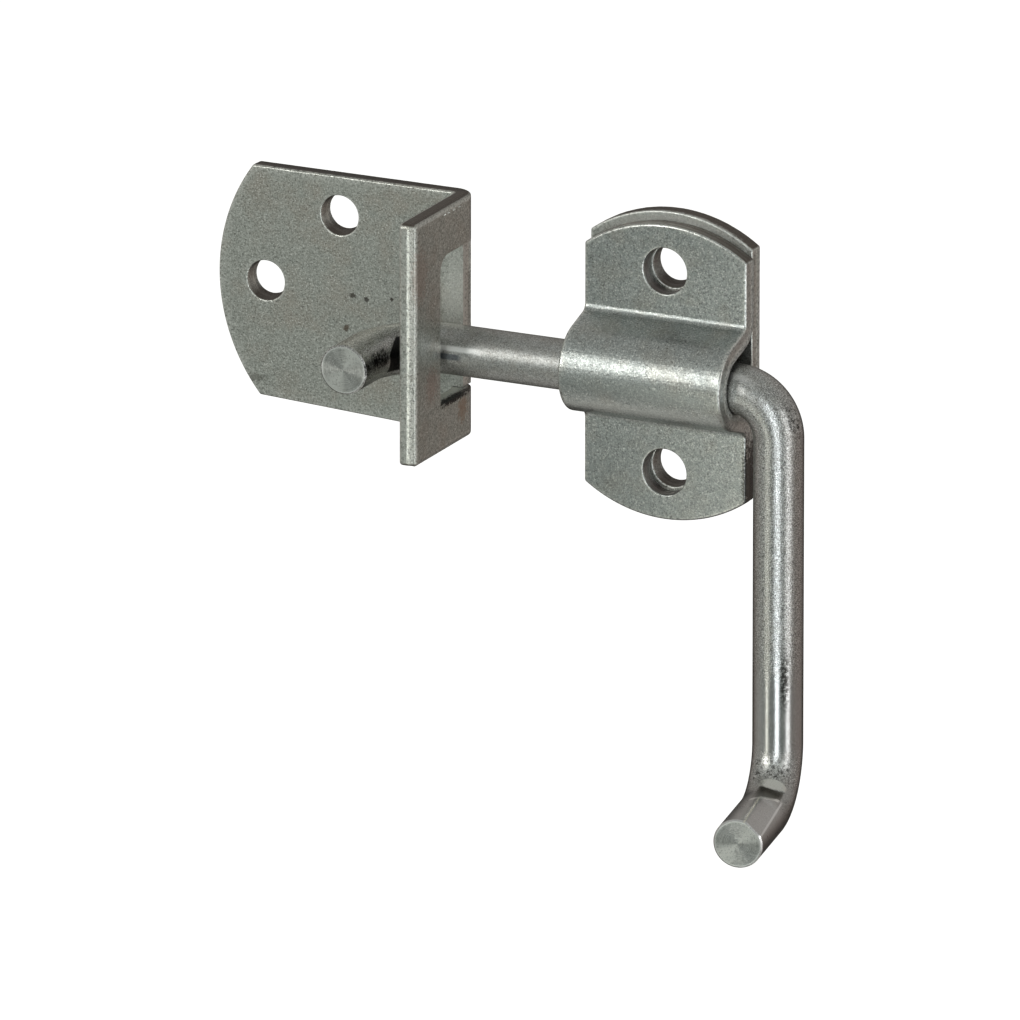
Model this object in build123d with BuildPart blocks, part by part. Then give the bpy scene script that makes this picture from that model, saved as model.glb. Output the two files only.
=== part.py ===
from build123d import *
import os
from math import cos, radians, sin, sqrt

# Side security latch: a bent round bar turns in a strap bearing and hooks behind a window in a keeper.
# Millimetres. X runs along the spindle towards the handle, -Y is away from the wall, +Z is up.
# The origin is the middle of the bearing's two bolt holes, on the wall.

# Latch rod, one bent bar
rod_diameter = 12.7
handle_clear_of_bracket = 10.9
handle_drop = 104.2
tip_reach = 36.0
tip_skew_angle = 9.4
tip_droop_angle = 2.5
hook_reach = 28.4
hook_behind_flange = 12.6
handle_bend_radius = 11.3
tip_bend_radius = 15.0
hook_bend_radius = 17.0
rod_end_chamfer = 0.4

# Bearing: strap over the rod, plate behind it
bracket_width = 44.45
strap_thickness = 4.55
strap_height = 76.2
strap_end_radius = 38.1
strap_hole_diameter = 11.9
back_plate_thickness = 4.55
back_plate_end_radius = 38.1
back_plate_rise_above_strap = 2.2
back_plate_left_of_strap = 0.5
back_plate_hole_diameter = 11.1
bracket_hole_spacing = 52.0
bore_clearance = 0.7
bore_above_hole_middle = 0.45
rod_drop_in_bore = 0.7
rod_clear_of_back_plate = 2.2
hump_flank_angle = 21.0
fold_radius = 3.0

# Keeper, a plate folded forwards at its right side
keeper_thickness = 4.55
keeper_right_of_left_tip = 69.85
keeper_gap_to_bracket = 33.7
keeper_height = 62.6
keeper_lift = 6.4
keeper_taper = 2.9
keeper_end_radius = 48.0
keeper_end_height = 9.0
flange_reach = 35.7
keeper_bend_radius = 0.8
keeper_hole_diameter = 10.3
outer_hole_from_tip = 13.15
outer_hole_height = 8.0
hole_step_across = 20.5
hole_step_up = 19.5
window_height = 38.4
window_front_strip = 14.2
window_sill_height = 12.15
window_top_corner_radius = 4.0
window_bottom_corner_radius = 1.0
tongue_inside_flange_face = 2.0

# Edges
corner_radius = 0.8
edge_break = 0.35
hole_edge_break = 0.35

# Places worked out from the sizes
rod_radius = rod_diameter / 2
spindle_y = -(back_plate_thickness + rod_clear_of_back_plate + rod_radius)
spindle_z = bore_above_hole_middle - rod_drop_in_bore
bore_radius = rod_radius + bore_clearance
lug_front_y = -(back_plate_thickness + strap_thickness)
handle_x = bracket_width / 2 + handle_clear_of_bracket
flange_face_x = -bracket_width / 2 - keeper_gap_to_bracket
flange_back_x = flange_face_x - keeper_thickness
hook_x = flange_back_x - hook_behind_flange
keeper_left_x = flange_face_x - keeper_right_of_left_tip
keeper_top_z = keeper_lift + keeper_height / 2
keeper_bottom_z = keeper_lift - keeper_height / 2
bracket_hole_z = bracket_hole_spacing / 2
back_plate_height = strap_height + back_plate_rise_above_strap
back_plate_middle_z = back_plate_rise_above_strap / 2


def shield_outline(width, height, end_radius):
    """Upright plate outline: straight sides, arched top and bottom, corners just broken."""
    half = width / 2
    corner = height / 2 - end_radius + sqrt(end_radius**2 - half**2)
    with BuildSketch() as outline:
        with BuildLine():
            Line((-half, -corner), (-half, corner))
            ThreePointArc((-half, corner), (0, height / 2), (half, corner))
            Line((half, corner), (half, -corner))
            ThreePointArc((half, -corner), (0, -height / 2), (-half, -corner))
        make_face()
        fillet(outline.vertices(), corner_radius)
    return outline.sketch


def hump_points(hump_radius, bend_radius, lug_y):
    """Upper half of one side of the strap, from the hump's nose to the lug: the points its arcs and lines join.

    Heights are from the bore's axis. The bend's centre lies in front of the lug, in the corner between lug and
    flank, for both sides of the strap.
    """
    lean = radians(hump_flank_angle)
    bend_y = lug_front_y - fold_radius
    outer_radius = bore_radius + strap_thickness
    bend_z = (outer_radius + fold_radius + sin(lean) * (bend_y - spindle_y)) / cos(lean)
    nose = (spindle_y - hump_radius, 0)
    shoulder = (spindle_y - hump_radius * sin(lean), hump_radius * cos(lean))
    foot = (bend_y + bend_radius * sin(lean), bend_z - bend_radius * cos(lean))
    middle_angle = (radians(90) - lean) / 2
    middle = (bend_y + bend_radius * cos(middle_angle), bend_z - bend_radius * sin(middle_angle))
    lug = (lug_y, bend_z)
    return nose, shoulder, foot, middle, lug


# Back plate: flat, with arched ends, set a little high and to the left behind the strap
with BuildPart() as back_plate:
    with BuildSketch(Plane.XZ):
        with Locations((-back_plate_left_of_strap, back_plate_middle_z)):
            add(shield_outline(bracket_width, back_plate_height, back_plate_end_radius))
    extrude(amount=back_plate_thickness)
    with Locations(Plane((0, -back_plate_thickness, 0), x_dir=(1, 0, 0), z_dir=(0, -1, 0))):
        with Locations((0, bracket_hole_z), (0, -bracket_hole_z)):
            Hole(back_plate_hole_diameter / 2, depth=back_plate_thickness)
    chamfer(back_plate.faces().sort_by(Axis.Y)[0].edges(), edge_break)

# Bearing strap: one hat-shaped strip, the same thickness all the way round the hump
with BuildPart() as bearing_strap:
    with BuildSketch(Plane.YZ.offset(-bracket_width / 2)):
        with BuildLine():
            lug_end_z = strap_height / 2 + strap_thickness
            out = hump_points(bore_radius + strap_thickness, fold_radius, lug_front_y)
            into = hump_points(bore_radius, fold_radius + strap_thickness, -back_plate_thickness)
            for side in (1, -1):
                front, back = [
                    [(y, bore_above_hole_middle + side * z) for y, z in points] for points in (out, into)
                ]
                Line(front[1], front[2])
                ThreePointArc(front[2], front[3], front[4])
                Line(front[4], (lug_front_y, side * lug_end_z))
                Line((lug_front_y, side * lug_end_z), (-back_plate_thickness, side * lug_end_z))
                Line((-back_plate_thickness, side * lug_end_z), back[4])
                ThreePointArc(back[4], back[3], back[2])
                Line(back[2], back[1])
            for (nose_y, nose_z), (shoulder_y, shoulder_z) in (out[:2], into[:2]):
                ThreePointArc(
                    (shoulder_y, bore_above_hole_middle + shoulder_z),
                    (nose_y, bore_above_hole_middle + nose_z),
                    (shoulder_y, bore_above_hole_middle - shoulder_z),
                )
        make_face()
    extrude(amount=bracket_width)
    with BuildSketch(Plane.XZ):
        add(shield_outline(bracket_width, strap_height, strap_end_radius))
    extrude(amount=flange_reach, mode=Mode.INTERSECT)
    with Locations(Plane((0, lug_front_y, 0), x_dir=(1, 0, 0), z_dir=(0, -1, 0))):
        with Locations((0, bracket_hole_z), (0, -bracket_hole_z)):
            Hole(strap_hole_diameter / 2, depth=strap_thickness)
    rims = bearing_strap.edges().filter_by(GeomType.CIRCLE).filter_by(
        lambda edge: abs(edge.radius - strap_hole_diameter / 2) < 0.01 and abs(edge.center().Y - lug_front_y) < 0.01
    )
    chamfer(rims, hole_edge_break)

# Keeper: plate and flange folded from one blank, with the window cut through the fold
with BuildPart() as keeper:
    with BuildSketch(Plane.XY.offset(keeper_bottom_z)):
        with BuildLine():
            inner = keeper_bend_radius
            outer = keeper_bend_radius + keeper_thickness
            Line((keeper_left_x, 0), (flange_face_x - outer, 0))
            RadiusArc((flange_face_x - outer, 0), (flange_face_x, -outer), outer)
            Line((flange_face_x, -outer), (flange_face_x, -flange_reach))
            Line((flange_face_x, -flange_reach), (flange_back_x, -flange_reach))
            Line((flange_back_x, -flange_reach), (flange_back_x, -outer))
            RadiusArc((flange_back_x, -outer), (flange_back_x - inner, -keeper_thickness), -inner)
            Line((flange_back_x - inner, -keeper_thickness), (keeper_left_x, -keeper_thickness))
            Line((keeper_left_x, -keeper_thickness), (keeper_left_x, 0))
        make_face()
    extrude(amount=keeper_height)

    # Outline seen from the front: arched left end, lower edge rising a little towards it
    with BuildSketch(Plane.XZ) as keeper_outline:
        with BuildLine():
            arc_x = keeper_left_x + keeper_end_radius
            rise = keeper_bottom_z + keeper_taper
            top_left_x = arc_x - sqrt(keeper_end_radius**2 - (keeper_top_z - keeper_end_height) ** 2)
            low_left_x = arc_x - sqrt(keeper_end_radius**2 - (rise - keeper_end_height) ** 2)
            ThreePointArc((low_left_x, rise), (keeper_left_x, keeper_end_height), (top_left_x, keeper_top_z))
            Line((top_left_x, keeper_top_z), (flange_face_x, keeper_top_z))
            Line((flange_face_x, keeper_top_z), (flange_face_x, keeper_bottom_z))
            Line((flange_face_x, keeper_bottom_z), (flange_face_x - outer, keeper_bottom_z))
            Line((flange_face_x - outer, keeper_bottom_z), (low_left_x, rise))
        make_face()
        fillet(keeper_outline.vertices().sort_by(Axis.X)[:2], corner_radius)
    extrude(amount=flange_reach, mode=Mode.INTERSECT)

    # Window through the flange and its fold, and the flat tongue of plate left behind it
    window_front_y = -(flange_reach - window_front_strip)
    window_bottom_z = keeper_bottom_z + window_sill_height
    window_top_z = window_bottom_z + window_height
    with BuildSketch(Plane.YZ.offset(flange_back_x - inner)):
        with BuildLine():
            low_start = (window_front_y, window_bottom_z + window_bottom_corner_radius)
            low_end = (window_front_y + window_bottom_corner_radius, window_bottom_z)
            top_start = (window_front_y, window_top_z - window_top_corner_radius)
            top_end = (window_front_y + window_top_corner_radius, window_top_z)
            Line(low_start, top_start)
            RadiusArc(top_start, top_end, window_top_corner_radius)
            Line(top_end, (keeper_thickness, window_top_z))
            Line((keeper_thickness, window_top_z), (keeper_thickness, window_bottom_z))
            Line((keeper_thickness, window_bottom_z), low_end)
            RadiusArc(low_end, low_start, window_bottom_corner_radius)
        make_face()
    extrude(amount=2 * keeper_thickness, mode=Mode.SUBTRACT)
    with BuildSketch(Plane.XZ):
        with BuildLine():
            tongue_left_x = flange_back_x - 2 * outer
            tongue_right_x = flange_face_x - tongue_inside_flange_face
            Polyline(
                (tongue_left_x, window_bottom_z),
                (tongue_left_x, window_top_z),
                (tongue_right_x, window_top_z),
                (tongue_right_x, window_bottom_z),
                close=True,
            )
        make_face()
    extrude(amount=keeper_thickness)

    # Bolt holes on a diagonal, one near the arched end, the other up and across from it
    outer_hole_x = keeper_left_x + outer_hole_from_tip
    with Locations(Plane((0, -keeper_thickness, 0), x_dir=(1, 0, 0), z_dir=(0, -1, 0))):
        with Locations(
            (outer_hole_x, outer_hole_height),
            (outer_hole_x + hole_step_across, outer_hole_height + hole_step_up),
        ):
            Hole(keeper_hole_diameter / 2, depth=keeper_thickness)
    rims = keeper.edges().filter_by(GeomType.CIRCLE).filter_by(
        lambda edge: abs(edge.radius - keeper_hole_diameter / 2) < 0.01
        and abs(edge.center().Y + keeper_thickness) < 0.01
    )
    chamfer(rims, hole_edge_break)

# Latch rod: hook, spindle, handle and turned-out tip along one centreline
with BuildPart() as latch_rod:
    with BuildLine() as centreline:
        skew = radians(tip_skew_angle)
        droop = radians(tip_droop_angle)
        handle_end = (handle_x, spindle_y, spindle_z - handle_drop)
        tip_end = (
            handle_end[0] + tip_reach * cos(droop) * sin(skew),
            handle_end[1] - tip_reach * cos(droop) * cos(skew),
            handle_end[2] - tip_reach * sin(droop),
        )
        FilletPolyline(
            (hook_x, spindle_y - hook_reach, spindle_z),
            (hook_x, spindle_y, spindle_z),
            (handle_x, spindle_y, spindle_z),
            handle_end,
            tip_end,
            radius=[hook_bend_radius, handle_bend_radius, tip_bend_radius],
        )
    with BuildSketch(centreline.line ^ 0):
        Circle(rod_radius)
    sweep()
    ends = latch_rod.edges().filter_by(GeomType.CIRCLE).filter_by(
        lambda edge: abs(edge.radius - rod_radius) < 0.01
    )
    chamfer([ends.sort_by(Axis.X)[0], ends.sort_by(Axis.Z)[0]], rod_end_chamfer)

os.makedirs("parts", exist_ok=True)
back_plate.part.label = "back_plate"
bearing_strap.part.label = "bearing_strap"
keeper.part.label = "keeper"
latch_rod.part.label = "latch_rod"
export_step(back_plate.part, "parts/back_plate.step")
export_step(bearing_strap.part, "parts/bearing_strap.step")
export_step(keeper.part, "parts/keeper.step")
export_step(latch_rod.part, "parts/latch_rod.step")
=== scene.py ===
import math

import bmesh
import bpy
from mathutils import Matrix, Vector, noise
from mathutils.geometry import tessellate_polygon


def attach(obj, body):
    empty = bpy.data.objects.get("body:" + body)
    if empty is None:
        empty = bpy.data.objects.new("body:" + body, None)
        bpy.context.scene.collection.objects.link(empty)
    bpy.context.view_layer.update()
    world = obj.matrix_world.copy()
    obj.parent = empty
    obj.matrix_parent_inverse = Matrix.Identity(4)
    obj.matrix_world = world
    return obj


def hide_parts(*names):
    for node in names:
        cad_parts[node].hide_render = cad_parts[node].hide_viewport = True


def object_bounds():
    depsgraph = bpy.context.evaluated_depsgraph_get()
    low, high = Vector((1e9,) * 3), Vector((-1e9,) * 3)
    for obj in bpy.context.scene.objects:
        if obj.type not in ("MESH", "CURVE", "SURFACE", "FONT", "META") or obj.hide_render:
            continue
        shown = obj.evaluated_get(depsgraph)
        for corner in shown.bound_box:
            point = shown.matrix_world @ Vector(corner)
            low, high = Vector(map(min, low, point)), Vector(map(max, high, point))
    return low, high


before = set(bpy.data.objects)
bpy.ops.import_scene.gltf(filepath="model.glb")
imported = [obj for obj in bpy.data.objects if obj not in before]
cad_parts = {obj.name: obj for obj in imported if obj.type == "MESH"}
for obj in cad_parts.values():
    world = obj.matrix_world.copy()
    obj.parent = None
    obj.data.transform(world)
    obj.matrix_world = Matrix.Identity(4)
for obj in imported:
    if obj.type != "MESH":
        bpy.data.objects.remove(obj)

# Lengths are millimetres until a mesh is made. The frame is the CAD's: -Y faces the viewer, +Z is up.
MM = 0.001
cad_low, cad_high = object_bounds()

# Photograph's view
AZIMUTH = math.radians(25.815)
ELEVATION = math.radians(16.918)
ROLL = math.radians(0.051)
AIM = Vector((-47.111, 0.0, -44.393))
PHOTO_SIZE = 1020
PIXELS_PER_MM = 4.012
FRAME_WIDTH = PHOTO_SIZE / PIXELS_PER_MM
CAMERA_DISTANCE = 8000.0
SENSOR = 36.0

# Studio
CARD_DIRECTION = (-0.391, 0.802, -0.451)
FLOOR_HALF_SIZE = 14000.0
FLOOR_DROP = 25.0

# Bearing
HALF_WIDTH = 22.225
STRAP_T = 4.55
STRAP_R = 38.1
STRAP_HOLE_R = 5.95
PLATE_T = 4.55
PLATE_R = 38.1
PLATE_HALF_HEIGHT = 39.2
PLATE_MIDDLE_Z = 1.09
PLATE_SHIFT_X = -0.5
PLATE_HOLE_R = 5.55
BRACKET_HOLE_Z = 26.0
STRAP_HOLE_SHIFT = (-0.15, 0.15)
# Height of each hole in the plate, and how far its back rim lies from its front rim in X and Z
PLATE_HOLES = ((BRACKET_HOLE_Z + 0.3, (-0.5, 0.35)), (0.7 - BRACKET_HOLE_Z, (-0.3, 0.2)))
BEARING_CORNER_R = 0.8
SPINDLE_Y = -13.1
SPINDLE_Z = -0.25
BORE_Z = 0.45
HUMP_R = 11.6
LEAN = math.radians(18.0)
FOLD_R = 2.0
LUG_FRONT_Y = -9.1

# Bearing's section, worked out, and where flank, fold and lug start along the strap's middle line
TURN = math.pi / 2 - LEAN
BEND_Y = LUG_FRONT_Y - FOLD_R
BEND_Z = (HUMP_R + FOLD_R + math.sin(LEAN) * (BEND_Y - SPINDLE_Y)) / math.cos(LEAN)
SHOULDER = Vector((SPINDLE_Y - HUMP_R * math.cos(TURN), HUMP_R * math.sin(TURN)))
FLANK_FOOT = Vector((BEND_Y + FOLD_R * math.cos(-TURN), BEND_Z + FOLD_R * math.sin(-TURN)))
HUMP_MIDDLE_R = HUMP_R - STRAP_T / 2
FOLD_MIDDLE_R = FOLD_R + STRAP_T / 2
FLANK_START = HUMP_MIDDLE_R * TURN
FOLD_START = FLANK_START + (FLANK_FOOT - SHOULDER).length
LUG_START = FOLD_START + FOLD_MIDDLE_R * TURN

# Keeper
KEEPER_T = 4.55
FLANGE_X = -55.925
KEEPER_LEFT_X = -125.77
KEEPER_TOP = 37.7
KEEPER_BOTTOM = -24.9
KEEPER_TAPER = 2.9
KEEPER_END_R = 48.0
KEEPER_END_Z = 9.0
FLANGE_REACH = 35.7
KEEPER_BEND_R = 0.8
KEEPER_HOLE_R = 5.15
KEEPER_HOLE_LEAN = (0.0, 0.4)
KEEPER_HOLES = ((-112.625, 8.0), (-92.125, 27.5))
WINDOW_BOTTOM = -12.75
WINDOW_TOP = 25.65
WINDOW_FRONT_Y = -21.5
WINDOW_SLIT = 0.06
TONGUE_X = -57.925
# Depth of the layer that keeps its length in the fold, from the inner face, as a share of the thickness
NEUTRAL_PART = 0.45

# Rod
ROD_R = 6.35
ROD_CHAMFER = 0.4
HOOK_X = -73.075
HOOK_REACH = 28.4
HANDLE_X = 33.125
HANDLE_DROP = 104.2
TIP_REACH = 36.0
TIP_SKEW = math.radians(9.4)
TIP_DROOP = math.radians(2.5)
HOOK_BEND = 17.0
HANDLE_BEND = 11.3
TIP_BEND = 15.0

# Foot as its die pressed it: lengths from the hook's end, slopes, depths, and angles round the bar
CREASE_START = 225.0
CREASE_END = 239.5
CREASE_STEEP = 0.7 / 4.5
CREASE_SHALLOW = 0.7 / 8.5
CREASE_ANGLE = 60.0
FLAT_START = 238.0
FLAT_RUN_IN = 2.0
FLAT_DEPTH = 0.5
FLAT_MIDDLE = 243.0
FLAT_ANGLE = 45.0
FLAT_TWIST = 0.6

# Fineness of the meshes, and the millimetres in one unit of the rod's two maps
CORNER_STEPS = 5
HOLE_STEPS = 72
END_STEPS = 48
KEEPER_END_STEPS = 70
KEEPER_FOLD_CUTS = 14
HUMP_CUTS = 18
STRAP_FOLD_CUTS = 10
ROD_SIDES = 96
CAP_RINGS = (0.96, 0.84, 0.7, 0.55, 0.4, 0.25, 0.12, 0.05)
BAR_MAP = 100.0
CAP_MAP = 10.0

# Least radius of a rounded corner, least gaps behind it, and how many of them are kept
LEAST_RADIUS = 0.04
LEAST_GAP = 0.07
GAPS_KEPT = 6


# Camera, light and floor

def direction(azimuth, elevation):
    flat = math.cos(elevation)
    return Vector((math.sin(azimuth) * flat, -math.cos(azimuth) * flat, math.sin(elevation)))


def make_camera():
    back = direction(AZIMUTH, ELEVATION)
    level = Vector((math.cos(AZIMUTH), math.sin(AZIMUTH), 0.0))
    upright = back.cross(level)
    right = level * math.cos(ROLL) + upright * math.sin(ROLL)
    up = back.cross(right)
    data = bpy.data.cameras.new("camera")
    data.sensor_width = SENSOR
    data.lens = SENSOR * CAMERA_DISTANCE / FRAME_WIDTH
    data.clip_start = 0.1
    data.clip_end = 60.0
    camera = bpy.data.objects.new("camera", data)
    rows = Matrix((right, up, back)).transposed().to_4x4()
    camera.matrix_world = Matrix.Translation((AIM + back * CAMERA_DISTANCE) * MM) @ rows
    bpy.context.scene.collection.objects.link(camera)
    bpy.context.scene.camera = camera


def softbox(name, azimuth, elevation, width, height, glow, colour=(1.0, 1.0, 1.0), distance=1.5,
            target=AIM):
    """A rectangular lamp facing its target. Angles, width and height are in degrees, distance in metres."""
    way = direction(math.radians(azimuth), math.radians(elevation))
    data = bpy.data.lights.new(name, "AREA")
    data.shape = "RECTANGLE"
    data.size = 2 * distance * math.tan(math.radians(width / 2))
    data.size_y = 2 * distance * math.tan(math.radians(height / 2))
    data.energy = glow * math.pi * data.size * data.size_y
    data.color = colour
    lamp = bpy.data.objects.new(name, data)
    lamp.location = target * MM + way * distance
    lamp.rotation_euler = way.to_track_quat("Z", "Y").to_euler()
    lamp.visible_camera = False
    bpy.context.scene.collection.objects.link(lamp)


def make_world():
    """Grey studio: a cool front, a warm wall behind with a dark card low on it, pale ceiling and ground."""
    world = bpy.data.worlds.new("studio")
    bpy.context.scene.world = world
    world.use_nodes = True
    tree = world.node_tree
    coords = tree.nodes.new("ShaderNodeTexCoord")
    split = tree.nodes.new("ShaderNodeSeparateXYZ")
    tree.links.new(coords.outputs["Generated"], split.inputs[0])

    def soft(value, low, high):
        node = tree.nodes.new("ShaderNodeMapRange")
        node.interpolation_type = "SMOOTHSTEP"
        node.inputs["From Min"].default_value = low
        node.inputs["From Max"].default_value = high
        tree.links.new(value, node.inputs["Value"])
        return node.outputs[0]

    def ramp(axis, low, high):
        return soft(split.outputs[axis], low, high)

    def blend(factor, a, b):
        node = tree.nodes.new("ShaderNodeMix")
        node.data_type = "RGBA"
        tree.links.new(factor, node.inputs["Factor"])
        for key, value in (("A", a), ("B", b)):
            if isinstance(value, tuple):
                node.inputs[key].default_value = (*value, 1)
            else:
                tree.links.new(value, node.inputs[key])
        return node.outputs["Result"]

    wall = blend(ramp("Z", -0.3, 0.2), (0.34, 0.295, 0.27), (0.44, 0.425, 0.405))
    front = blend(ramp("Z", -0.1, 0.7), (0.27, 0.295, 0.278), (0.40, 0.425, 0.405))
    front = blend(ramp("X", -0.45, -0.9), front, (0.46, 0.47, 0.44))
    sides = blend(ramp("Y", -0.7, 0.6), front, wall)
    above = blend(ramp("Z", 0.5, 0.95), sides, (0.44, 0.45, 0.43))
    around = blend(ramp("Z", -0.45, -0.95), above, (0.5, 0.5, 0.47))
    away = tree.nodes.new("ShaderNodeVectorMath")
    away.operation = "DOT_PRODUCT"
    tree.links.new(coords.outputs["Generated"], away.inputs[0])
    away.inputs[1].default_value = CARD_DIRECTION
    around = blend(soft(away.outputs["Value"], 0.64, 0.9), around, (0.03, 0.026, 0.024))
    background = tree.nodes["Background"]
    tree.links.new(around, background.inputs["Color"])
    background.inputs["Strength"].default_value = 1.0


def make_floor():
    mesh = bpy.data.meshes.new("floor")
    s, z = FLOOR_HALF_SIZE * MM, cad_low[2] - FLOOR_DROP * MM
    mesh.from_pydata([(-s, -s, z), (s, -s, z), (s, s, z), (-s, s, z)], [], [(0, 1, 2, 3)])
    floor = bpy.data.objects.new("floor", mesh)
    bpy.context.scene.collection.objects.link(floor)
    floor.visible_glossy = False
    floor.visible_diffuse = False
    material = bpy.data.materials.new("pale_floor")
    material.use_nodes = True
    shader = material.node_tree.nodes["Principled BSDF"]
    shader.inputs["Base Color"].default_value = (0.8, 0.8, 0.8, 1)
    shader.inputs["Roughness"].default_value = 1.0
    shader.inputs["Specular IOR Level"].default_value = 0.0
    shader.inputs["Emission Color"].default_value = (1, 1, 1, 1)
    shader.inputs["Emission Strength"].default_value = 0.72
    mesh.materials.append(material)


# Sheet metal: outlines, cut edges and folds

class Outline:
    """A closed line with the metal on its left. radii rounds some of its corners.

    lean is how far the line's back lies from its front, in X and Z."""

    def __init__(self, points, radii=None, lean=(0.0, 0.0)):
        self.points = [Vector(p) for p in points]
        self.radii = radii or {}
        self.lean = Vector(lean)

    def inset(self, d):
        """The line's points, moved into the metal by d; those beside a rounded corner keep clear of it."""
        rows = []
        n = len(self.points)
        ways = [(self.points[(i + 1) % n] - p).normalized() for i, p in enumerate(self.points)]
        for i, p in enumerate(self.points):
            before, after = ways[i - 1], ways[i]
            n1, n2 = Vector((-before.y, before.x)), Vector((-after.y, after.x))
            mitre = (n1 + n2) / (1 + n1.dot(n2))
            turn = before.x * after.y - before.y * after.x
            if i not in self.radii:
                rows.append([p + mitre * d])
                continue
            r = self.radii[i]
            side = 1 if turn > 0 else -1
            centre = p + mitre * (r * side)
            radius = r - d * side
            if radius < LEAST_RADIUS:
                centre = p + mitre * (d + LEAST_RADIUS)
                radius = LEAST_RADIUS
            row = []
            for k in range(CORNER_STEPS + 1):
                f = k / CORNER_STEPS
                way = (n1 * (1 - f) + n2 * f).normalized() * -side
                row.append(centre + way * radius)
            rows.append(row)
        for i in self.radii:
            for sign, end, way in ((-1, rows[i][0], ways[i - 1]), (1, rows[i][-1], ways[i])):
                for k in range(1, GAPS_KEPT + 1):
                    j = (i + sign * k) % n
                    if j in self.radii:
                        break
                    if (rows[j][0] - end).dot(way) * sign < LEAST_GAP * k:
                        rows[j][0] = end + way * sign * LEAST_GAP * k
        return [p for row in rows for p in row]


def circle_outline(x, z, radius, lean=(0.0, 0.0)):
    angles = [-2 * math.pi * k / HOLE_STEPS for k in range(HOLE_STEPS)]
    return Outline([(x + radius * math.cos(a), z + radius * math.sin(a)) for a in angles], lean=lean)


def filled_line(a, b, step):
    count = max(1, round((b - a).length / step))
    return [a.lerp(b, k / count) for k in range(count)]


def arc_points(cx, cz, r, start, end, count):
    """Points from one angle to another, in degrees, the last one left out."""
    angles = [math.radians(start + (end - start) * k / count) for k in range(count)]
    return [Vector((cx + r * math.cos(a), cz + r * math.sin(a))) for a in angles]


def closed_outline(runs, rounded, step=1.0):
    """Joins corners and arcs, which are lists of points, into one outline.

    rounded gives the radius at the start of some of the runs."""
    points, radii = [], {}
    for k, run in enumerate(runs):
        if k in rounded:
            radii[len(points)] = rounded[k]
        if isinstance(run, list):
            points += run
            continue
        following = runs[(k + 1) % len(runs)]
        target = following[0] if isinstance(following, list) else following
        points += filled_line(run, target, step)
    return Outline(points, radii)


def edge_profile(thickness, roll, roll_depth, smooth_part, tear, back=0.1, draw=0.0, bright=0.45, sheen_width=0.3,
                 sheen_strength=0.25, roll_steps=7, wall_steps=7, back_steps=4):
    """The section of a cut edge, front to back: rolled over, smooth, torn, then its back corner.

    Each entry is inset, depth, wear, tear and cut, where wear also holds a painted sheen and, below 0,
    painted shade in holes. The front is rolled over by roll and roll_depth, and smooth_part is the share of
    the thickness above the tear, which lies deeper by tear. back is the back corner's radius, and draw is
    how far the cut moves into the metal on its way to the back. A negative bright paints the wall darker, as
    shade in a hole, instead of worn. Next to the rim the face gets a painted highlight band, whose strength
    and distance the two numbers after bright set."""
    # The first two rows give the face a painted highlight band next to the rim
    profile = [(roll + 4 * sheen_width, 0.0, 0.0, 0.0, 0.0), (roll + sheen_width, 0.0, sheen_strength, 0.0, 0.0)]
    for k in range(roll_steps + 1):
        a = math.pi / 2 * k / roll_steps
        worn = 1.0 - 0.65 * max(0.0, (k / roll_steps - 0.5) * 2)
        cut = max(0.0, (k / roll_steps - 0.7) / 0.3)
        profile.append((roll * (1 - math.sin(a)), roll_depth * (1 - math.cos(a)), worn, 0.0, cut))
    end = thickness - back
    for k in range(1, wall_steps + 1):
        depth = roll_depth + (end - roll_depth) * k / wall_steps
        torn = max(0.0, min(1.0, (depth / thickness - smooth_part) / 0.22))
        profile.append((tear * torn + draw * depth / thickness, depth, bright, torn, 1.0))
    foot = tear + draw
    for k in range(1, back_steps + 1):
        a = math.pi / 2 * k / back_steps
        profile.append((foot + back * (1 - math.cos(a)), end + back * math.sin(a), 0.7, 0.5, 0.4))
    profile.append((foot + back + 0.3, thickness, 0.5, 0.0, 0.0))
    profile.append((foot + back + 0.9, thickness, 0.0, 0.0, 0.0))
    return profile


def tear_noise(x, y, z):
    coarse = noise.noise(Vector((x, y, z)) * 1.7)
    return coarse + 0.6 * noise.noise(Vector((x, y * 1.5, z)) * 5.0)


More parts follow.
